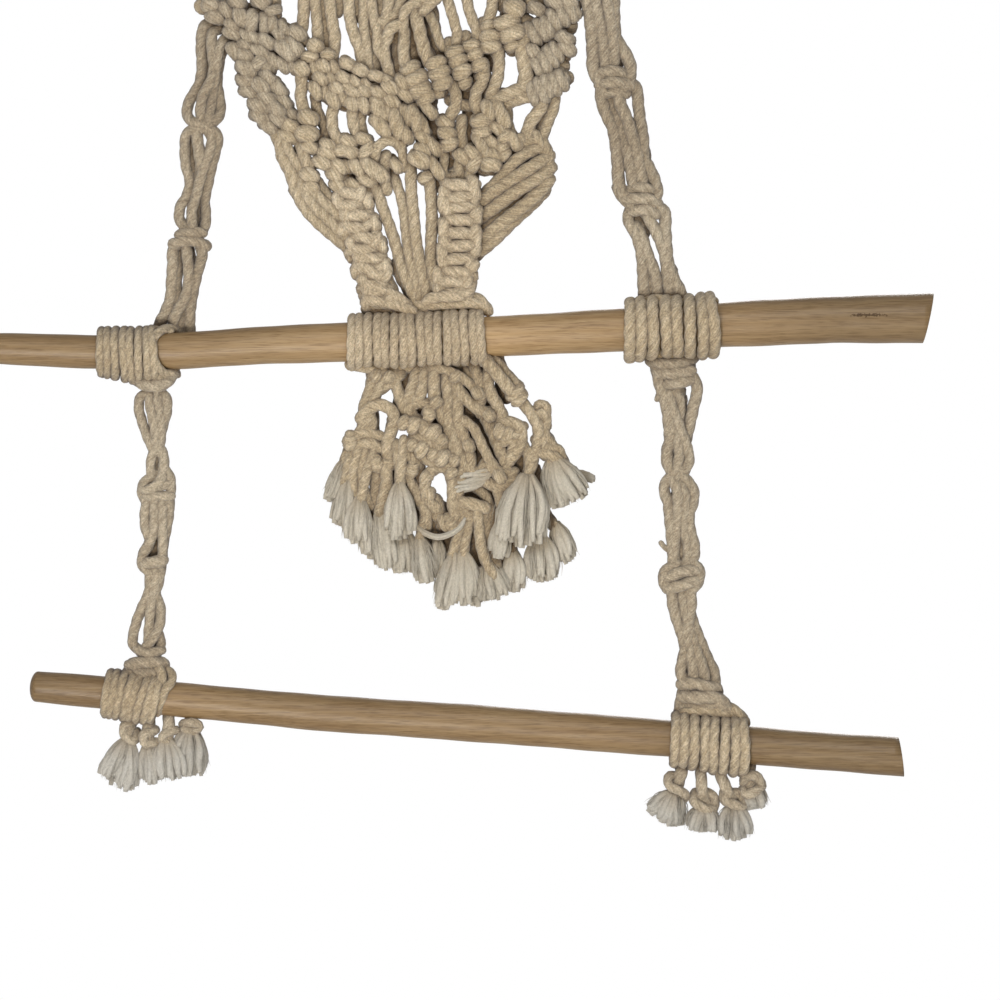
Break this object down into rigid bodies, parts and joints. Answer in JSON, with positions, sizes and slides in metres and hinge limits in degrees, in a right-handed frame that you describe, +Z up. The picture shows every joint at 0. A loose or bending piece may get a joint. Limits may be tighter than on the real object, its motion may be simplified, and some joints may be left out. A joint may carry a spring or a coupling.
{
  "type": "macrame wall hanging with wooden rods",
  "caption": "Knotted cotton wall hanging: a tapering openwork panel lashed to a wooden rod, with side chains that carry a lower rod and frayed tassels.",
  "frame": {"origin": "middle of the heading's top edge, where the panel hangs from what holds it", "axes": "+X to the viewer's right along the upper rod, +Y towards the wall, +Z up"},
  "size_m": [0.414, 0.028, 0.3594],
  "materials": {
    "cotton_cord": "three-ply twisted natural cotton cord, matt",
    "frayed_cotton": "untwisted cotton fibres, soft and matt",
    "wood": "smoothed pale brown stick with long grain, satin"
  },
  "bodies": {
    "root": {"chain_left_lower": "cotton_cord", "chain_left_upper": "cotton_cord", "chain_right_lower": "cotton_cord", "chain_right_upper": "cotton_cord", "lashing_centre": "cotton_cord", "lashing_left": "cotton_cord", "lashing_lower_left": "cotton_cord", "lashing_lower_right": "cotton_cord", "lashing_right": "cotton_cord", "panel": "cotton_cord", "rod_lower": "wood", "rod_upper": "wood", "tail": "cotton_cord", "tassel_left_01": "frayed_cotton", "tassel_left_02": "frayed_cotton", "tassel_left_03": "frayed_cotton", "tassel_left_04": "frayed_cotton", "tassel_right_01": "frayed_cotton", "tassel_right_02": "frayed_cotton", "tassel_right_03": "frayed_cotton", "tassel_right_04": "frayed_cotton", "tassel_tail_01": "frayed_cotton", "tassel_tail_02": "frayed_cotton", "tassel_tail_03": "frayed_cotton", "tassel_tail_04": "frayed_cotton", "tassel_tail_05": "frayed_cotton", "tassel_tail_06": "frayed_cotton", "tassel_tail_07": "frayed_cotton", "tassel_tail_08": "frayed_cotton", "tassel_tail_09": "frayed_cotton", "tassel_tail_10": "frayed_cotton", "tassel_tail_11": "frayed_cotton", "tassel_tail_12": "frayed_cotton", "tassel_tail_13": "frayed_cotton", "tassel_tail_14": "frayed_cotton", "tassel_tail_15": "frayed_cotton", "tassel_tail_16": "frayed_cotton"}
  },
  "joints": []
}
